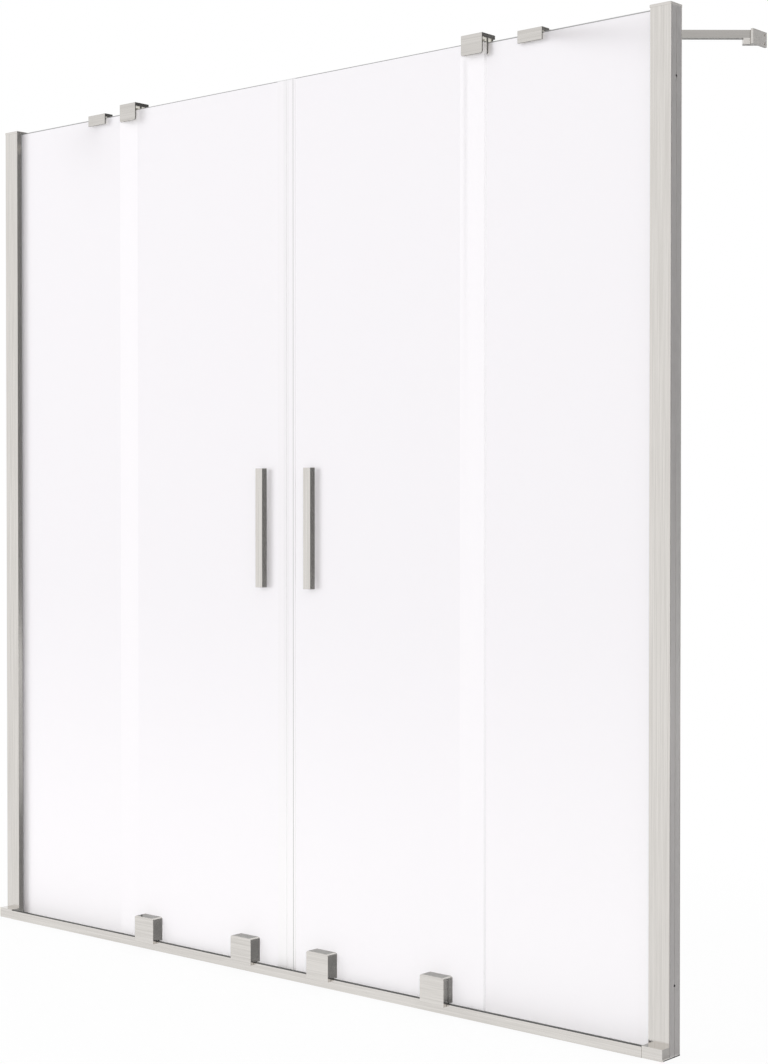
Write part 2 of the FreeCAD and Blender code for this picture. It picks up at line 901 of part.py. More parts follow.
def closing_seal():
    """Clear profile on the door's inner edge, with a chamber for the magnet strip."""
    edge = s.door_inner_edge
    tip = edge + s.closing_leg
    front = door_front - s.closing_leg_thickness
    back = door_back + s.closing_leg_thickness
    outline = [
        (s.closing_gap, front),
        (tip, front),
        (tip, door_front),
        (edge, door_front),
        (edge, door_back),
        (tip, door_back),
        (tip, back),
        (s.closing_gap, back),
    ]
    chamber = rectangle(chamber_across, (-chamber_half, chamber_half))
    return along_z("closing_seal_right", (s.door_bottom, door_top), outline, chamber)


def magnet_strip():
    """Magnet strip inside the closing seal."""
    return block(
        "magnet_strip_right",
        (chamber_across[0] + s.magnet_gap, chamber_across[1] - s.magnet_gap),
        (s.magnet_gap - chamber_half, chamber_half - s.magnet_gap),
        (s.door_bottom + s.magnet_end_gap, door_top - s.magnet_end_gap),
    )


def bottom_wiper():
    """Clear strip under the door, whose fin runs just above the sill."""
    shoulder = s.door_bottom - s.wiper_flange
    foot = s.sill_thickness + s.wiper_gap
    fin = (-s.wiper_fin / 2, s.wiper_fin / 2)
    outline = [
        (door_front, s.door_bottom),
        (door_front, shoulder),
        (fin[0], shoulder),
        (fin[0], foot),
        (fin[1], foot),
        (fin[1], shoulder),
        (door_back, shoulder),
        (door_back, s.door_bottom),
    ]
    return along_x("bottom_wiper_right", door_span, outline)


def handle_bar(name, glass_face, grip_face, bore_start):
    """Flat bar on one face of the door, with blind holes for the studs."""
    across = about(s.handle_centre, s.handle_width)
    up = about(s.handle_level, s.handle_height)
    bar = along_z(name + "_bar", up, rectangle(across, (glass_face, grip_face)))
    round_edges(bar, s.fitting_round, y=(grip_face,))
    bores = []
    for number, level in enumerate(handle_stud_places()):
        start = (s.handle_centre, bore_start, level)
        bores.append(rod(f"{name}_bore_{number}", "y", start, s.stud_depth, s.stud_radius + s.stud_gap))
    return cut(name, bar, *bores)


def handle_outer():
    grip_face = door_front - s.handle_depth
    return handle_bar("handle_outer_right", door_front, grip_face, door_front - s.stud_depth)


def handle_inner():
    grip_face = door_back + s.handle_depth
    return handle_bar("handle_inner_right", door_back, grip_face, door_back)


def handle_studs():
    """Threaded studs that join the two handle bars through the glass."""
    length = s.glass_thickness + s.stud_depth * 2
    studs = []
    for number, level in enumerate(handle_stud_places()):
        start = (s.handle_centre, door_front - s.stud_depth, level)
        studs.append(rod(f"handle_stud_{number}", "y", start, length, s.stud_radius))
    return group("handle_studs_right", *studs)


def carriage_cover(name, centre):
    """Cover over a carriage; its front hangs in front of the rail."""
    across = about(centre, s.carriage_width)
    outline = rectangle(across, (carriage_front, door_front))
    shell = along_z(f"carriage_cover_{name}_shell", (s.carriage_lip_bottom, s.carriage_top), outline)
    round_edges(shell, s.carriage_round, x=across, z=(s.carriage_top,))
    round_edges(shell, s.fitting_round, y=(carriage_front,))
    cavity = block(
        f"carriage_cover_{name}_cavity",
        (across[0] + s.cover_wall, across[1] - s.cover_wall),
        (cavity_front, door_front),
        (s.carriage_lip_bottom, s.carriage_top - s.cover_wall),
    )
    rail_room = block(
        f"carriage_cover_{name}_rail_room",
        across,
        (rail_front - s.lip_gap, door_front),
        (s.carriage_lip_bottom, s.rail_height + s.rail_gap),
    )
    track_room = block(
        f"carriage_cover_{name}_track_room",
        across,
        about(track_centre, s.track_width + s.track_side_gap * 2),
        (s.rail_height, carriage_bottom),
    )
    return cut(f"carriage_cover_{name}_right", shell, cavity, rail_room, track_room)


def carriage_body(name, centre):
    """Block inside a cover that is bolted to the glass and holds the roller's axle."""
    room = s.cover_wall + s.body_gap
    across = about(centre, s.carriage_width - room * 2)
    deep = (cavity_front + s.body_gap, door_front)
    stock = block(f"carriage_body_{name}_stock", across, deep, (carriage_bottom, s.carriage_top - room))
    rim = s.roller_radius + s.roller_flange + s.roller_rim_gap
    roller_room = block(
        f"carriage_body_{name}_roller_room",
        about(centre, rim * 2),
        about(track_centre, s.roller_width + s.roller_side_gap * 2),
        (carriage_bottom, roller_level + rim),
    )
    axle_span = axle_ends()
    axle_hole = rod(
        f"carriage_body_{name}_axle_hole",
        "y",
        (centre, axle_span[0], roller_level),
        axle_span[1] - axle_span[0],
        s.axle_radius + s.running_gap,
    )
    tools = [roller_room, axle_hole]
    for number, (x, level) in enumerate(bolt_places(centre)):
        start = (x, door_front - s.bolt_length, level)
        radius = s.bolt_radius + s.bolt_gap
        tools.append(rod(f"carriage_body_{name}_bolt_hole_{number}", "y", start, s.bolt_length, radius))
    return cut(f"carriage_body_{name}", stock, *tools)


def axle_ends():
    """The two ends of an axle, each seated in a wall of the carriage body."""
    room = about(track_centre, s.roller_width + s.roller_side_gap * 2)
    return (room[0] - s.axle_seat, room[1] + s.axle_seat)


def carriage_axle(name, centre):
    ends = axle_ends()
    start = (centre, ends[0], roller_level)
    return rod(f"carriage_axle_{name}", "y", start, ends[1] - ends[0], s.axle_radius)


def carriage_bolt(name, number, x, level):
    """Countersunk bolt from the bath side, flush with the glass, with a key socket."""
    label = f"carriage_bolt_{name}_{number}"
    shank_start = (x, door_front - s.bolt_length, level)
    shank_length = s.bolt_length + s.glass_thickness - s.bolt_head_depth
    shank = rod(label + "_shank", "y", shank_start, shank_length, s.bolt_radius)
    head_start = (x, door_back - s.bolt_head_depth, level)
    head = taper(label + "_head", "y", head_start, s.bolt_head_depth, s.bolt_radius, s.bolt_head_radius)
    whole = fuse(label + "_whole", shank, head)
    key_start = (x, door_back - s.bolt_key_depth, level)
    key = rod(label + "_key", "y", key_start, s.bolt_key_depth, s.bolt_key_radius)
    return cut(label, whole, key)


def roller(name, centre):
    """Grooved roller that runs on the track strip."""
    rim_radius = s.roller_radius + s.roller_flange
    sides = about(track_centre, s.roller_width)
    groove = about(track_centre, s.roller_groove)
    label = f"roller_{name}"
    face = (centre, sides[0], roller_level)
    groove_face = (centre, groove[0], roller_level)
    disc = rod(label + "_disc", "y", face, s.roller_width, rim_radius)
    band = rod(label + "_band", "y", groove_face, s.roller_groove, rim_radius + s.roller_flange)
    core = rod(label + "_core", "y", groove_face, s.roller_groove, s.roller_radius)
    ring = cut(label + "_ring", band, core)
    bore = rod(label + "_bore", "y", face, s.roller_width, s.axle_radius + s.running_gap)
    return cut(label + "_right", disc, ring, bore)


def build_frame():
    """Everything that stays fixed to the walls and the bath."""
    keep(bottom_rail())
    keep(roller_track())
    keep(on_both_sides("foot_pads", [foot_pad()]))
    pairs = (
        rail_foot,
        wall_channel,
        post_profile,
        post_cap,
        glazing_gasket,
        fixed_glass,
        sill_gasket,
        overlap_seal,
        top_guide,
        door_guide_liner,
        stabiliser_clamp,
        stabiliser_bar,
        wall_bracket,
    )
    for make in pairs:
        keep_pair(make())
    liners = [
        glass_liner("guide_glass_liner", guide_span, guide_bottom, guide_roof),
        glass_liner("clamp_glass_liner", clamp_span, clamp_bottom, clamp_roof),
    ]
    keep(on_both_sides("glass_liners", liners))
    keep(on_both_sides("set_screws", set_screws()))


def build_doors():
    """The pieces of the right door and their mirror images on the left door."""
    pane_pieces = (door_glass, closing_seal, magnet_strip, bottom_wiper)
    handle_pieces = (handle_outer, handle_inner, handle_studs)
    for make in pane_pieces + handle_pieces:
        keep_pair(make())
    bodies = []
    axles = []
    bolts = []
    for name, centre in CARRIAGES:
        keep_pair(carriage_cover(name, centre))
        keep_pair(roller(name, centre))
        bodies.append(carriage_body(name, centre))
        axles.append(carriage_axle(name, centre))
        for number, (x, level) in enumerate(bolt_places(centre)):
            bolts.append(carriage_bolt(name, number, x, level))
    keep_pair(group("carriage_bodies_right", *bodies))
    keep_pair(group("carriage_axles_right", *axles))
    keep_pair(group("carriage_bolts_right", *bolts))


def check_document():
    """Stop if a feature failed or a piece is empty or broken."""
    for thing in doc.Objects:
        if "Invalid" in thing.State or "Error" in thing.State:
            raise RuntimeError(f"{thing.Name} failed: {thing.State}")
    for node in NODES:
        if node.Shape.isNull() or not node.Shape.isValid() or not node.Shape.Solids:
            raise RuntimeError(f"{node.Label} has no valid solid")


def write_parts():
    os.makedirs("parts", exist_ok=True)
    for node in NODES:
        node.Shape.exportStep(f"parts/{node.Label}.step")
    print(f"{len(NODES)} nodes written")


build_frame()
build_doors()
doc.recompute()
check_document()
write_parts()
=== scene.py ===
"""Looks of a sliding bath screen: its finishes, its socket screws, the camera, the light and the floor."""

import json
import math

import bpy
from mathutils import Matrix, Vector


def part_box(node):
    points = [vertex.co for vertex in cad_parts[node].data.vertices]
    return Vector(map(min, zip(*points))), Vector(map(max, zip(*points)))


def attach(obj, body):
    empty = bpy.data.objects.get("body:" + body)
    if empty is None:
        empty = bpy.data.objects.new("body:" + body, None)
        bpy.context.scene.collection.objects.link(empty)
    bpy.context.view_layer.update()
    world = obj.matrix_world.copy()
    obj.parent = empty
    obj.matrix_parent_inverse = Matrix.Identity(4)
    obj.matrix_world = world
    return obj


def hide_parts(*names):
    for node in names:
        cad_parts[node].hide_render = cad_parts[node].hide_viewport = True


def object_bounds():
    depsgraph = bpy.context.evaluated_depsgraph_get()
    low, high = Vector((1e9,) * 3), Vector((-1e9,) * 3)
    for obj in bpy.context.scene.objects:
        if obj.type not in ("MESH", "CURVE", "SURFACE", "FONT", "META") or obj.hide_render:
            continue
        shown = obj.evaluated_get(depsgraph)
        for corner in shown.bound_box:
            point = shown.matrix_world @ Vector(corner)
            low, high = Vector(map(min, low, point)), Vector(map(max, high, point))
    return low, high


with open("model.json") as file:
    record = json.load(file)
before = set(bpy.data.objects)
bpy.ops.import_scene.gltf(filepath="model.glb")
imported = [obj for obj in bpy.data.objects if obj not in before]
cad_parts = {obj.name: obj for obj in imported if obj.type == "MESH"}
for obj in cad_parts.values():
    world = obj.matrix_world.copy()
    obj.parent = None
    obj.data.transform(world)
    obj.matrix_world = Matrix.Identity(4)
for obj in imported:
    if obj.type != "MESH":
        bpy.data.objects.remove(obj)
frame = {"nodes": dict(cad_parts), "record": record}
cad_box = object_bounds()

MM = 0.001
SIDES = {"left": -1, "right": 1}

# The photograph's camera, in metres and degrees; a camera with no tilt looks straight down
IMAGE_SIZE = (768, 1064)
FOCAL_PIXELS = 1962.6
CAMERA_PLACE = Vector((2.27406, -2.35864, 0.78819))
CAMERA_YAW = 41.163
CAMERA_DIP = 0.782
LEVEL_TILT = 90.0
SENSOR_MM = 36.0


class Value:
    """A socket of a node tree. Arithmetic on it adds Math nodes."""

    def __init__(self, nodes, socket):
        self.nodes = nodes
        self.socket = socket

    def maths(self, operation, first, second=0.0):
        """The result of a Math node."""
        return self.nodes.add("ShaderNodeMath", {"operation": operation}, {0: first, 1: second})

    def __add__(self, other):
        return self.maths("ADD", self, other)

    def __radd__(self, other):
        return self.maths("ADD", other, self)

    def __sub__(self, other):
        return self.maths("SUBTRACT", self, other)

    def __rsub__(self, other):
        return self.maths("SUBTRACT", other, self)

    def __mul__(self, other):
        return self.maths("MULTIPLY", self, other)

    def __rmul__(self, other):
        return self.maths("MULTIPLY", other, self)

    def __pow__(self, other):
        return self.maths("POWER", self, other)

    def __gt__(self, other):
        return self.maths("GREATER_THAN", self, other)

    def size(self):
        """The value without its sign."""
        return self.maths("ABSOLUTE", self)

    def larger(self, other):
        """The larger of two values."""
        return self.maths("MAXIMUM", self, other)


class Nodes:
    """Adds nodes to a node tree."""

    def __init__(self, tree):
        self.tree = tree
        tree.nodes.clear()

    def add(self, kind, settings=None, inputs=None, output=0):
        """A node of a kind, with its settings, then its inputs; one of its outputs comes back."""
        node = self.tree.nodes.new(kind)
        for name, setting in (settings or {}).items():
            setattr(node, name, setting)
        for key, given in (inputs or {}).items():
            if isinstance(given, Value):
                self.tree.links.new(given.socket, node.inputs[key])
            else:
                node.inputs[key].default_value = given
        return Value(self, node.outputs[output]) if node.outputs else None

    def also(self, value, output):
        """Another output of the node that gave a value."""
        return Value(self, value.socket.node.outputs[output])

    def blend(self, factor, low, high):
        """A colour between two colours."""
        colour_inputs = {0: factor, 6: low, 7: high}
        return self.add("ShaderNodeMix", {"data_type": "RGBA"}, colour_inputs, output=2)

    def mix(self, factor, low, high):
        """A surface between two surfaces."""
        return self.add("ShaderNodeMixShader", {}, {0: factor, 1: low, 2: high})

    def noise(self, place, scale, detail=2.0):
        """Soft random tones, about this many to a metre."""
        return self.add("ShaderNodeTexNoise", {}, {"Vector": place, "Scale": scale, "Detail": detail})

    def soft_step(self, value, low, high):
        """0 below the low value, 1 above the high one, and smooth between them."""
        limits = {"Value": value, "From Min": low, "From Max": high}
        return self.add("ShaderNodeMapRange", {"interpolation_type": "SMOOTHSTEP"}, limits)

    def object_place(self):
        """Where a point lies on its piece."""
        return self.add("ShaderNodeTexCoord", output="Object")

    def facing(self):
        """The X, Y and Z of the way that a surface faces."""
        return self.parts_of(self.add("ShaderNodeTexCoord", output="Normal"))

    def parts_of(self, vector):
        """The X, Y and Z of a vector."""
        first = self.add("ShaderNodeSeparateXYZ", {}, {0: vector})
        return first, self.also(first, 1), self.also(first, 2)


def grey(level):
    """A grey with its alpha."""
    return (level, level, level, 1.0)


def shaded(colour, shade):
    """A colour times a number, with its alpha."""
    return (*(part * shade for part in colour), 1.0)


def new_finish(name):
    """A material and the wrapper of its empty node tree."""
    material = bpy.data.materials.new(name)
    material.use_nodes = True
    return material, Nodes(material.node_tree)


def show(nodes, surface):
    """Make a surface the one that a material shows."""
    nodes.add("ShaderNodeOutputMaterial", {}, {"Surface": surface})


def principled(nodes, **sockets):
    """The main shader, with its sockets given by their names in lower case."""
    inputs = {}
    for name, given in sockets.items():
        title = name.replace("_", " ").title()
        inputs[title.replace("Ior", "IOR")] = given
    return nodes.add("ShaderNodeBsdfPrincipled", {}, inputs)


BUMP_DEPTH = 0.1 * MM


def bumps(nodes, height, strength):
    """A surface made slightly uneven by a pattern of heights."""
    sockets = {"Strength": strength, "Distance": BUMP_DEPTH, "Height": height}
    return nodes.add("ShaderNodeBump", {}, sockets, output="Normal")


# Brushed nickel: its two tones, with painted shade as darker copies for the top pieces, the bracket, the
# bars and the plate edges; coarse streaks and fine scratches, as so many to a metre across and along the
# grain
NICKEL_LIGHT = (0.745, 0.72, 0.69)
NICKEL_DARK = (0.635, 0.61, 0.58)
TOP_PAINTED_SHADE = 0.9
EDGE_PAINTED_SHADE = 0.42
BAR_PAINTED_SHADE = 0.6
STREAKS_ACROSS = 420.0
STREAKS_ALONG = 5.0
SCRATCHES_ACROSS = 2400.0
SCRATCHES_ALONG = 30.0
BRUSH_DETAIL = 3.0
NICKEL_CLOUDS = 6.0

# What the streaks, scratches and clouds add to the tone, and where the tone is darkest and lightest
STREAK_SHARE = 0.6
SCRATCH_SHARE = 0.3
CLOUD_SHARE = 0.1
DARKEST_TONE = 0.3
LIGHTEST_TONE = 0.7

NICKEL_ROUGHNESS = 0.1
SCRATCH_ROUGHNESS = 0.12
SCRATCH_BUMP = 0.12

# The white pad of a handle, and how far a surface turns one way to count as facing it
PAD_LEVEL = 1.0 * MM
LINING_DARK = grey(0.88)
LINING_LIGHT = grey(0.94)
LINING_ROUGHNESS = 0.6
FACING_LIMIT = 0.5


def brushed(nodes, grain, turn, across, along):
    """A noise stretched along the grain axis of a piece that is turned about Z."""
    turned = nodes.add(
        "ShaderNodeMapping",
        {"vector_type": "POINT"},
        {"Vector": nodes.object_place(), "Rotation": (0.0, 0.0, -turn)},
    )
    stretch = [across, across, across]
    stretch["xyz".index(grain)] = along
    scaled = nodes.add("ShaderNodeVectorMath", {"operation": "MULTIPLY"}, {0: turned, 1: stretch})
    return nodes.noise(scaled, 1.0, detail=BRUSH_DETAIL)


def pad_on_glass(nodes):
    """1 on the face of a handle that lies on the door's glass."""
    depth = nodes.parts_of(nodes.object_place())[1]
    return depth * nodes.facing()[1] * -1.0 > PAD_LEVEL


def nickel_colour(nodes, tone, shade):
    """Nickel between its dark and its light tone."""
    return nodes.blend(tone, shaded(NICKEL_DARK, shade), shaded(NICKEL_LIGHT, shade))


def brushed_nickel(name, grain, turn=0.0, shade=1.0, painted_edge_shade=None, lining=None):
    """Brushed metal, with painted shade on the edges of its plates or a white lining on the pieces that
    have them.
    """
    material, nodes = new_finish(name)
    streaks = brushed(nodes, grain, turn, STREAKS_ACROSS, STREAKS_ALONG)
    scratches = brushed(nodes, grain, turn, SCRATCHES_ACROSS, SCRATCHES_ALONG)
    cloud = nodes.noise(nodes.object_place(), NICKEL_CLOUDS)
    pattern = streaks * STREAK_SHARE + scratches * SCRATCH_SHARE + cloud * CLOUD_SHARE
    tone = nodes.soft_step(pattern, DARKEST_TONE, LIGHTEST_TONE)
    colour = nickel_colour(nodes, tone, shade)
    # Painted shade: the edges of the plates, which face neither front nor back, are darker
    if painted_edge_shade:
        on_face = nodes.facing()[1].size() > FACING_LIMIT
        colour = nodes.blend(on_face, nickel_colour(nodes, tone, painted_edge_shade), colour)
    surface = principled(
        nodes,
        base_color=colour,
        metallic=1.0,
        roughness=scratches * SCRATCH_ROUGHNESS + NICKEL_ROUGHNESS,
        normal=bumps(nodes, scratches, SCRATCH_BUMP),
    )
    if lining:
        white = nodes.blend(cloud, LINING_DARK, LINING_LIGHT)
        pad = principled(nodes, base_color=white, roughness=LINING_ROUGHNESS)
        surface = nodes.mix(lining(nodes), surface, pad)
    show(nodes, surface)
    return material


# Plain metal and plastic: clouds of tone and a fine grain, as so many to a metre
CLOUD_DETAIL = 4.0
METAL_CLOUDS = 60.0
METAL_GRAINS = 2500.0
METAL_BUMP = 0.08
METAL_UNEVENNESS = 0.15
PLASTIC_CLOUDS = 35.0
PLASTIC_GRAINS = 1800.0
PLASTIC_BUMP = 0.1
PLASTIC_UNEVENNESS = 0.2


def plain_metal(name, dark, light, roughness):
    """Unbrushed metal with faint clouds of tone."""
    material, nodes = new_finish(name)
    cloud = nodes.noise(nodes.object_place(), METAL_CLOUDS, CLOUD_DETAIL)
    grains = nodes.noise(nodes.object_place(), METAL_GRAINS)
    metal = principled(
        nodes,
        base_color=nodes.blend(cloud, dark, light),
        metallic=1.0,
        roughness=cloud * METAL_UNEVENNESS + roughness,
        normal=bumps(nodes, grains, METAL_BUMP),
    )
    show(nodes, metal)
    return material


def moulded(name, dark, light, roughness):
    """Moulded plastic or rubber with a fine grain."""
    material, nodes = new_finish(name)
    cloud = nodes.noise(nodes.object_place(), PLASTIC_CLOUDS, CLOUD_DETAIL)
    grains = nodes.noise(nodes.object_place(), PLASTIC_GRAINS)
    plastic = principled(
        nodes,
        base_color=nodes.blend(cloud, dark, light),
        roughness=grains * PLASTIC_UNEVENNESS + roughness,
        normal=bumps(nodes, grains, PLASTIC_BUMP),
    )
    show(nodes, plastic)
    return material


# Satin glass: a white veil, through which near things show softly and far things melt away; painted light
# makes it paler near the foot and where a closed door stands in front of a pane
GLASS_PAINTED_LIGHT_AT_FOOT = (1.0, 0.975, 1.0, 1.0)
GLASS_AT_TOP = (0.915, 0.89, 0.92, 1.0)
GLASS_SIDE_EDGE = grey(0.6)
GLASS_RIM = grey(0.3)
GLASS_CLEARNESS = 0.45
OVERLAP_PAINTED_LIGHT = 0.6
EDGE_OPENNESS = 0.86
GLASS_BLUR = 0.78
GLASS_UNEVENNESS = 0.06
GLASS_CLOUDS = 9.0
GLASS_IOR = 1.3
RIM_HEIGHT = 1.3 * MM

# Heights in metres up to which glass and seals have their palest painted light, and from which they have
# their full tint
PALE_UP_TO = 0.05
TINTED_FROM = 0.7

# Milky seals, with painted light near the foot and a painted shade line along the fold of the lip, whose
# fine lines are given as so many to a metre across and along them
SEAL_LIGHT = (0.93, 0.91, 0.93, 1.0)
SEAL_DARK = (0.885, 0.865, 0.885, 1.0)
SEAL_ON_MAGNET = (0.87, 0.855, 0.87, 1.0)
SEAL_PAINTED_LIGHT_AT_FOOT = (1.0, 0.985, 0.99, 1.0)
SEAL_RIM = grey(0.7)
SEAL_FOLD_PAINTED_SHADE = grey(0.47)
SEAL_FOLD_PLACE = 15.4 * MM
SEAL_FOLD_WIDTH = 1.2 * MM
SEAL_LINES_ACROSS = 900.0
SEAL_LINES_ALONG = 2.0
SEAL_ROUGHNESS = 0.4
SEAL_UNEVENNESS = 0.2


def top_rim(height):
    """1 along the thin dark line at the top of the doors."""
    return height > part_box("door_glass_right")[1].z - RIM_HEIGHT


def foot_painted_light_fade(nodes, height):
    """0 at the foot of the screen, where the painted light is palest, and 1 from the middle up."""
    return nodes.soft_step(height, PALE_UP_TO, TINTED_FROM)


def show_clear_to_light(nodes, surface, openness=0.0):
    """A surface that is open in part, and lets lamplight and the metal's reflections pass straight on."""
    shadow = nodes.add("ShaderNodeLightPath", output="Is Shadow Ray")
    mirrored = nodes.also(shadow, "Is Glossy Ray")
    scattered = nodes.also(shadow, "Is Diffuse Ray")
    passing = shadow.larger(mirrored).larger(scattered).larger(openness)
    open_way = nodes.add("ShaderNodeBsdfTransparent")
    show(nodes, nodes.mix(passing, surface, open_way))


def satin_glass(name):
    """Satin glass, with painted light that makes it palest near the foot and where a closed door stands in
    front of a pane.
    """
    material, nodes = new_finish(name)
    place = nodes.object_place()
    along, depth, height = nodes.parts_of(place)
    on_side = nodes.facing()[0].size() > FACING_LIMIT
    on_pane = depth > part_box("door_glass_right")[1].y
    overlapped = (along.size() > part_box("fixed_glass_right")[0].x) * (1.0 - on_pane)
    rise = foot_painted_light_fade(nodes, height)
    # Painted light: paler near the foot, and paler still where a closed door stands in front of a pane
    tint = nodes.blend(rise * (1.0 - overlapped * OVERLAP_PAINTED_LIGHT), GLASS_PAINTED_LIGHT_AT_FOOT, GLASS_AT_TOP)
    edged = nodes.blend(on_side, tint, GLASS_SIDE_EDGE)
    clouds = nodes.noise(place, GLASS_CLOUDS)
    glass = principled(
        nodes,
        base_color=nodes.blend(top_rim(height), edged, GLASS_RIM),
        roughness=clouds * GLASS_UNEVENNESS + GLASS_BLUR,
        transmission_weight=GLASS_CLEARNESS,
        ior=GLASS_IOR,
    )
    show_clear_to_light(nodes, glass, on_side * EDGE_OPENNESS)
    return material


def milky_seal(name):
    """Milky soft profile with faint lines from its die, a magnet that shows through, a painted shade line
    along the fold of its lip and painted light near its foot.
    """
    material, nodes = new_finish(name)
    lines = brushed(nodes, "z", 0.0, SEAL_LINES_ACROSS, SEAL_LINES_ALONG)
    along, _, height = nodes.parts_of(nodes.object_place())
    on_magnet = 1.0 - (along.size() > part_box("magnet_strip_right")[1].x)
    # Painted shade in a thin line along the fold of the lip
    on_fold_shade = 1.0 - ((along - SEAL_FOLD_PLACE).size() > SEAL_FOLD_WIDTH / 2)
    milky = nodes.blend(on_magnet, nodes.blend(lines, SEAL_DARK, SEAL_LIGHT), SEAL_ON_MAGNET)
    # Painted light: paler near the foot
    tint = nodes.blend(foot_painted_light_fade(nodes, height), SEAL_PAINTED_LIGHT_AT_FOOT, milky)
    lined = nodes.blend(on_fold_shade, tint, SEAL_FOLD_PAINTED_SHADE)
    plastic = principled(
        nodes,
        base_color=nodes.blend(top_rim(height), lined, SEAL_RIM),
        roughness=lines * SEAL_UNEVENNESS + SEAL_ROUGHNESS,
    )
    show_clear_to_light(nodes, plastic)
    return material


# Plain finishes by slot, and by piece for the gaskets: name, dark tone, light tone and roughness
PLAIN_METALS = {
    "channel_aluminium": ("channel_aluminium", (0.62, 0.6, 0.59, 1.0), (0.7, 0.68, 0.67, 1.0), 0.3),
    "track_steel": ("track_steel", grey(0.12), grey(0.17), 0.3),
    "fasteners": ("fastener_steel", grey(0.36), grey(0.46), 0.25),
}
PLASTICS = {
    "guide_liner": ("guide_liner", (0.7, 0.68, 0.62, 1.0), (0.78, 0.76, 0.69, 1.0), 0.4),
    "roller_nylon": ("roller_nylon", grey(0.72), grey(0.8), 0.4),
    "carriage_plastic": ("carriage_plastic", grey(0.1), grey(0.14), 0.45),
    "magnet": ("magnet_casing", grey(0.86), grey(0.92), 0.5),
    # The near-black pads under the feet are a painted shadow along the feet's lower edge
    "pad_rubber": ("pad_rubber", grey(0.02), grey(0.035), 0.6),
    "sill_gasket": ("pale_gasket", grey(0.84), grey(0.9), 0.5),
    "glazing_gasket": ("grey_gasket", grey(0.2), grey(0.26), 0.5),
}

# How nickel pieces are brushed, by the start of their names; all others are brushed lengthwise
BRUSHINGS = {
    "post_profile": "upright",
    "handle": "handle",
    "top_guide": "top",
    "stabiliser_clamp": "top",
    "wall_bracket": "bracket",
    "stabiliser_bar_left": "bar_left",
    "stabiliser_bar_right": "bar_right",
}


def nickel_finishes():
    """The kinds of brushed nickel. The bars are turned, and so is their grain. The top pieces, the bracket
    and the bars are darker copies with painted shade, and the top pieces have painted shade on their
    edges.
    """
    bar_start, bar_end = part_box("stabiliser_bar_right")
    bar_turn = math.atan2(bar_end.y - bar_start.y, bar_end.x - bar_start.x)
    return {
        "upright": brushed_nickel("nickel_brushed_upright", "z"),
        "lengthwise": brushed_nickel("nickel_brushed_lengthwise", "x"),
        "handle": brushed_nickel("nickel_brushed_handle", "z", lining=pad_on_glass),
        "top": brushed_nickel("nickel_brushed_top_painted_shade", "x", shade=TOP_PAINTED_SHADE, painted_edge_shade=EDGE_PAINTED_SHADE),
        "bracket": brushed_nickel("nickel_brushed_bracket_painted_shade", "x", shade=TOP_PAINTED_SHADE),
        "bar_left": brushed_nickel("nickel_brushed_bar_left_painted_shade", "x", -bar_turn, BAR_PAINTED_SHADE),
        "bar_right": brushed_nickel("nickel_brushed_bar_right_painted_shade", "x", bar_turn, BAR_PAINTED_SHADE),
    }


def other_finishes():
    """The finishes of all that isn't nickel."""
    finishes = {}
    for slot, look in PLAIN_METALS.items():
        finishes[slot] = plain_metal(*look)
    for slot, look in PLASTICS.items():
        finishes[slot] = moulded(*look)
    finishes["clear_glass"] = satin_glass("satin_glass")
    finishes["clear_seal"] = milky_seal("milky_seal")
    return finishes


def brushing(node):
    """Which kind of brushed nickel a piece has."""
    for start, kind in BRUSHINGS.items():
        if node.startswith(start):
            return kind
    return "lengthwise"


def dress_nodes(nickel, others):
    """Give every node of the frame its finish."""
    for part in frame["record"]["subparts"]:
        node = part["node"]
        slot = part["material_slot"]
        if "gasket" in node:
            slot = node.rsplit("_", 1)[0]
        material = nickel[brushing(node)] if slot == "brushed_nickel" else others[slot]
        mesh = frame["nodes"][node].data
        mesh.materials.clear()
        mesh.materials.append(material)


# Socket screws of the right-hand side, in millimetres: middle of the outer face, axis and length
SET_SCREWS = (
    ((383.1, 22.5, 1487.0), (0, 1, 0), 4.5),
    ((405.1, 22.5, 1487.0), (0, 1, 0), 4.5),
    ((480.5, 27.0, 1490.75), (0, 1, 0), 9.0),
    ((738.02, 229.4, 1480.0), (0, 0, -1), 15.0),
)
SET_SCREW_SIZES = {
    "Shank Radius": 2.5,
    "Head Radius": 2.35,
    "Head Depth": 3.0,
    "Key Radius": 1.45,
    "Key Depth": 2.5,
}
CARRIAGE_BOLT_PLACES = (74.6, 102.6, 317.8, 345.8)
CARRIAGE_BOLTS = tuple(((x, 3.0, 46.0), (0, 1, 0), 19.0) for x in CARRIAGE_BOLT_PLACES)
CARRIAGE_BOLT_SIZES = {
    "Shank Radius": 3.0,
    "Head Radius": 6.0,
    "Head Depth": 3.0,
    "Key Radius": 2.3,
    "Key Depth": 2.0,
}
ROUND_SIDES = 48
KEY_SIDES = 6


def shifted(nodes, mesh, lift):
    """A mesh moved along Z."""
    place = nodes.add("ShaderNodeCombineXYZ", {}, {"Z": lift})
    return nodes.add("GeometryNodeTransform", {}, {"Geometry": mesh, "Translation": place})


def point_value(nodes, name, kind):
    """What each point keeps under a name."""
    return nodes.add("GeometryNodeInputNamedAttribute", {"data_type": kind}, {"Name": name})


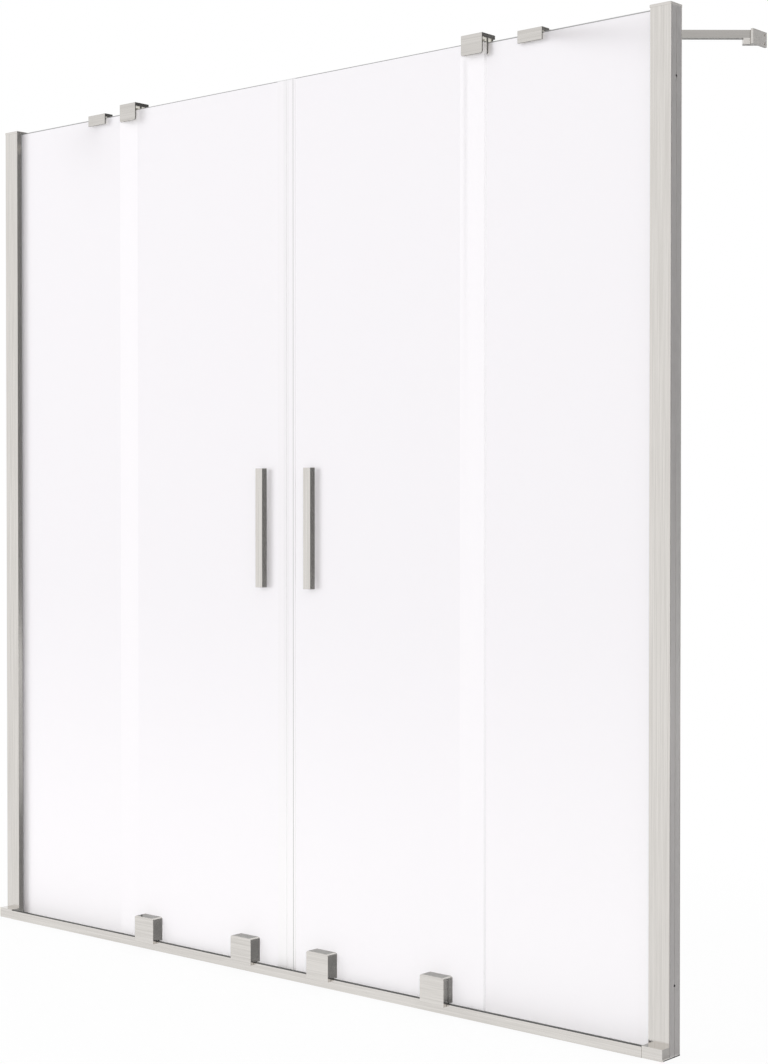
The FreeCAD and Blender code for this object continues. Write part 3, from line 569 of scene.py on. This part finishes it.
def screw_head(nodes, shank_radius, head_radius, head_depth, key_radius, key_depth):
    """A head under the level Z = 0, with a hexagon socket in its top."""
    cone_sizes = {
        "Vertices": ROUND_SIDES,
        "Radius Bottom": shank_radius,
        "Radius Top": head_radius,
        "Depth": head_depth,
    }
    blank = shifted(nodes, nodes.add("GeometryNodeMeshCone", {}, cone_sizes), head_depth * -1.0)
    key_sizes = {"Vertices": KEY_SIDES, "Radius": key_radius, "Depth": key_depth * 2.0}
    key = nodes.add("GeometryNodeMeshCylinder", {}, key_sizes)
    cut = {"Mesh 1": blank, "Mesh 2": key}
    return nodes.add("GeometryNodeMeshBoolean", {"operation": "DIFFERENCE"}, cut)


def screw_shank(nodes, radius):
    """A round rod under the level Z = 0, one metre long until it is scaled."""
    sizes = {"Vertices": ROUND_SIDES, "Radius": radius, "Depth": 1.0}
    return shifted(nodes, nodes.add("GeometryNodeMeshCylinder", {}, sizes), -0.5)


def screws_at_points(nodes, points, sizes):
    """Heads at the points and shanks behind them, each along its axis and of its length."""
    shank_radius, _, head_depth, _, _ = sizes
    axis = point_value(nodes, "axis", "FLOAT_VECTOR")
    length = point_value(nodes, "length", "FLOAT")
    turn = nodes.add("FunctionNodeAlignRotationToVector", {"axis": "Z"}, {"Vector": axis})
    stretch = nodes.add("ShaderNodeCombineXYZ", {}, {"X": 1.0, "Y": 1.0, "Z": length - head_depth})
    backwards = {0: axis, "Scale": head_depth * -1.0}
    behind_head = nodes.add("ShaderNodeVectorMath", {"operation": "SCALE"}, backwards)
    shank_points = nodes.add("GeometryNodeSetPosition", {}, {"Geometry": points, "Offset": behind_head})
    head_inputs = {"Points": points, "Instance": screw_head(nodes, *sizes), "Rotation": turn}
    shank_inputs = {
        "Points": shank_points,
        "Instance": screw_shank(nodes, shank_radius),
        "Rotation": turn,
        "Scale": stretch,
    }
    heads = nodes.add("GeometryNodeInstanceOnPoints", {}, head_inputs)
    shanks = nodes.add("GeometryNodeInstanceOnPoints", {}, shank_inputs)
    both = nodes.add("GeometryNodeJoinGeometry", {}, {0: heads})
    nodes.tree.links.new(shanks.socket, both.socket.node.inputs[0])
    return nodes.add("GeometryNodeRealizeInstances", {}, {"Geometry": both})


def screw_tree(material):
    """Geometry nodes that turn points into screws with a hexagon socket."""
    tree = bpy.data.node_groups.new("socket_screws", "GeometryNodeTree")
    tree.interface.new_socket("Points", in_out="INPUT", socket_type="NodeSocketGeometry")
    for name in SET_SCREW_SIZES:
        tree.interface.new_socket(name, in_out="INPUT", socket_type="NodeSocketFloat")
    tree.interface.new_socket("Screws", in_out="OUTPUT", socket_type="NodeSocketGeometry")
    nodes = Nodes(tree)
    points = nodes.add("NodeGroupInput")
    sizes = [nodes.also(points, name) for name in SET_SCREW_SIZES]
    screws = screws_at_points(nodes, points, sizes)
    dressed = nodes.add("GeometryNodeSetMaterial", {}, {"Geometry": screws, "Material": material})
    nodes.add("NodeGroupOutput", {}, {"Screws": dressed})
    return tree


def screw_points(name, screws, signs):
    """Bare points for the screws of the given sides, each with its axis and length."""
    placed = [
        (Vector((x * sign, y, z)) * MM, axis, length * MM)
        for sign in signs
        for (x, y, z), axis, length in screws
    ]
    mesh = bpy.data.meshes.new(name)
    mesh.from_pydata([place for place, _, _ in placed], [], [])
    mesh.attributes.new("axis", "FLOAT_VECTOR", "POINT")
    mesh.attributes.new("length", "FLOAT", "POINT")
    for index, (_, axis, length) in enumerate(placed):
        mesh.attributes["axis"].data[index].vector = axis
        mesh.attributes["length"].data[index].value = length
    return mesh


def fit_screws(tree, node, body, screws, sizes, signs):
    """Put detailed screws in the place of a node's plain ones."""
    points = bpy.data.objects.new(node + "_points", screw_points(node + "_points", screws, signs))
    bpy.context.scene.collection.objects.link(points)
    modifier = points.modifiers.new("screws", "NODES")
    modifier.node_group = tree
    for socket in tree.interface.items_tree:
        if socket.name in sizes:
            modifier[socket.identifier] = sizes[socket.name] * MM
    evaluated = points.evaluated_get(bpy.context.evaluated_depsgraph_get())
    piece = bpy.data.objects.new(node + "_detailed", bpy.data.meshes.new_from_object(evaluated))
    bpy.data.objects.remove(points)
    bpy.context.scene.collection.objects.link(piece)
    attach(piece, body)
    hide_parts(node)


def fit_all_screws(material):
    """The set screws of the frame and the carriage bolts of both doors."""
    tree = screw_tree(material)
    fit_screws(tree, "set_screws", "frame", SET_SCREWS, SET_SCREW_SIZES, SIDES.values())
    for side, sign in SIDES.items():
        bolts = f"carriage_bolts_{side}"
        fit_screws(tree, bolts, f"door_{side}", CARRIAGE_BOLTS, CARRIAGE_BOLT_SIZES, [sign])


# The white room and its floor, in metres; the floor is nearly white at the screen and white further off
ROOM_LIGHT = 0.9
FLOOR_HALF = 14.0
FLOOR_DROP = 0.2 * MM
FLOOR_COLOUR = (0.88, 0.88, 0.885, 1.0)
FLOOR_ROUGHNESS = 0.8
WHITE_NEAR = 0.92
FADE_FROM = 0.25
FADE_UP_TO = 1.6

# Soft square lamps: place and width in metres, and watts
LAMPS = {
    "front_lamp": ((-2.6, -3.2, 2.6), 2.4, 30.0),
    "side_lamp": ((3.4, -2.4, 3.0), 2.0, 12.0),
    "back_lamp": ((-1.6, 3.4, 2.8), 2.4, 20.0),
}

# Grey cards that show only in the metal: grey level, and the spans in X, Y and Z in metres
BACK_WALL = (5.0, 5.0)
WALL_HEIGHT = (0.0, 4.5)
FLOOR_LEVEL = (0.0, 0.0)
CARD_ROUGHNESS = 0.9
CARDS = {
    "far_card": (0.25, (5.4, 12.0), BACK_WALL, WALL_HEIGHT),
    "right_card": (0.14, (4.14, 5.4), BACK_WALL, WALL_HEIGHT),
    "pale_card": (0.92, (3.72, 4.14), BACK_WALL, WALL_HEIGHT),
    "middle_card": (0.64, (1.2, 3.72), BACK_WALL, WALL_HEIGHT),
    "left_card": (0.48, (-3.6, 0.0), (2.5, 2.5), (0.3, 1.6)),
    "floor_card": (0.21, (-0.75, 0.42), (0.03, 2.0), FLOOR_LEVEL),
    "floor_end_card": (0.42, (0.42, 0.755), (0.03, 2.0), FLOOR_LEVEL),
    "floor_side_card": (0.55, (0.755, 3.5), (-0.02, 3.0), FLOOR_LEVEL),
}


def seen_rays(nodes):
    """1 for the rays that show the background: straight, mirrored or through glass."""
    camera = nodes.add("ShaderNodeLightPath", output="Is Camera Ray")
    mirrored = nodes.also(camera, "Is Glossy Ray")
    through = nodes.also(camera, "Is Transmission Ray")
    return camera.larger(mirrored).larger(through)


def white_room():
    """A white background with a softer light on the object."""
    world = bpy.data.worlds.new("white_room")
    bpy.context.scene.world = world
    world.use_nodes = True
    nodes = Nodes(world.node_tree)
    light = nodes.add("ShaderNodeBackground", {}, {"Color": grey(1.0), "Strength": ROOM_LIGHT})
    backdrop = nodes.add("ShaderNodeBackground", {}, {"Color": grey(1.0), "Strength": 1.0})
    nodes.add("ShaderNodeOutputWorld", {}, {"Surface": nodes.mix(seen_rays(nodes), light, backdrop)})


def floor_finish():
    """Pale floor that takes the shadow near the screen and fades into the white background."""
    material, nodes = new_finish("pale_floor")
    along, deep, _ = nodes.parts_of(nodes.object_place())
    beyond_end = (along.size() - cad_box[1].x).larger(0.0)
    away = (beyond_end * beyond_end + deep * deep) ** 0.5
    fade = nodes.soft_step(away, FADE_FROM, FADE_UP_TO) * (1.0 - WHITE_NEAR) + WHITE_NEAR
    painted = principled(nodes, base_color=FLOOR_COLOUR, roughness=FLOOR_ROUGHNESS)
    white = nodes.add("ShaderNodeEmission", {}, {"Color": grey(1.0), "Strength": 1.0})
    show(nodes, nodes.mix(fade * seen_rays(nodes), painted, white))
    return material


def stage_sheet(name, spans, material):
    """A flat piece of the studio, upright or level, from its spans in X, Y and Z."""
    (left, right), (front, back), (low, high) = spans
    corners = [(left, front, low), (right, front, low), (right, back, high), (left, back, high)]
    mesh = bpy.data.meshes.new(name)
    mesh.from_pydata(corners, [], [(0, 1, 2, 3)])
    mesh.materials.append(material)
    sheet = bpy.data.objects.new(name, mesh)
    bpy.context.scene.collection.objects.link(sheet)
    return sheet


def lay_floor():
    """A wide floor just under the screen."""
    level = cad_box[0].z - FLOOR_DROP
    reach = (-FLOOR_HALF, FLOOR_HALF)
    stage_sheet("floor", (reach, reach, (level, level)), floor_finish())


def card_finish(name, level):
    """Matt grey card."""
    material, nodes = new_finish(name)
    show(nodes, principled(nodes, base_color=grey(level), roughness=CARD_ROUGHNESS))
    return material


def stand_cards():
    """Cards behind and beside the screen, which give the metal's sides and undersides their depth."""
    for name, (level, *spans) in CARDS.items():
        card = stage_sheet(name, spans, card_finish(name, level))
        card.visible_camera = False
        card.visible_diffuse = False
        card.visible_transmission = False
        card.visible_shadow = not name.startswith("floor")


def soft_lamp(name, place, width, watts):
    """A square lamp that faces the middle of the screen."""
    lamp = bpy.data.lights.new(name, "AREA")
    lamp.size = width
    lamp.energy = watts
    holder = bpy.data.objects.new(name, lamp)
    bpy.context.scene.collection.objects.link(holder)
    middle = (cad_box[0] + cad_box[1]) / 2
    holder.location = place
    holder.rotation_euler = (middle - Vector(place)).to_track_quat("-Z", "Y").to_euler()
    holder.visible_glossy = False
    holder.visible_transmission = False


def light_room():
    """The white room and its lamps."""
    white_room()
    for name, (place, width, watts) in LAMPS.items():
        soft_lamp(name, place, width, watts)


def place_camera():
    """The camera that took the photograph."""
    lens = bpy.data.cameras.new("camera")
    lens.sensor_width = SENSOR_MM
    lens.lens = FOCAL_PIXELS * SENSOR_MM / max(IMAGE_SIZE)
    camera = bpy.data.objects.new("camera", lens)
    bpy.context.scene.collection.objects.link(camera)
    camera.location = CAMERA_PLACE
    camera.rotation_euler = (math.radians(LEVEL_TILT - CAMERA_DIP), 0.0, math.radians(CAMERA_YAW))
    bpy.context.scene.camera = camera


nickel = nickel_finishes()
others = other_finishes()
dress_nodes(nickel, others)
fit_all_screws(others["fasteners"])
light_room()
lay_floor()
stand_cards()
place_camera()
bpy.context.scene.view_settings.view_transform = "Standard"
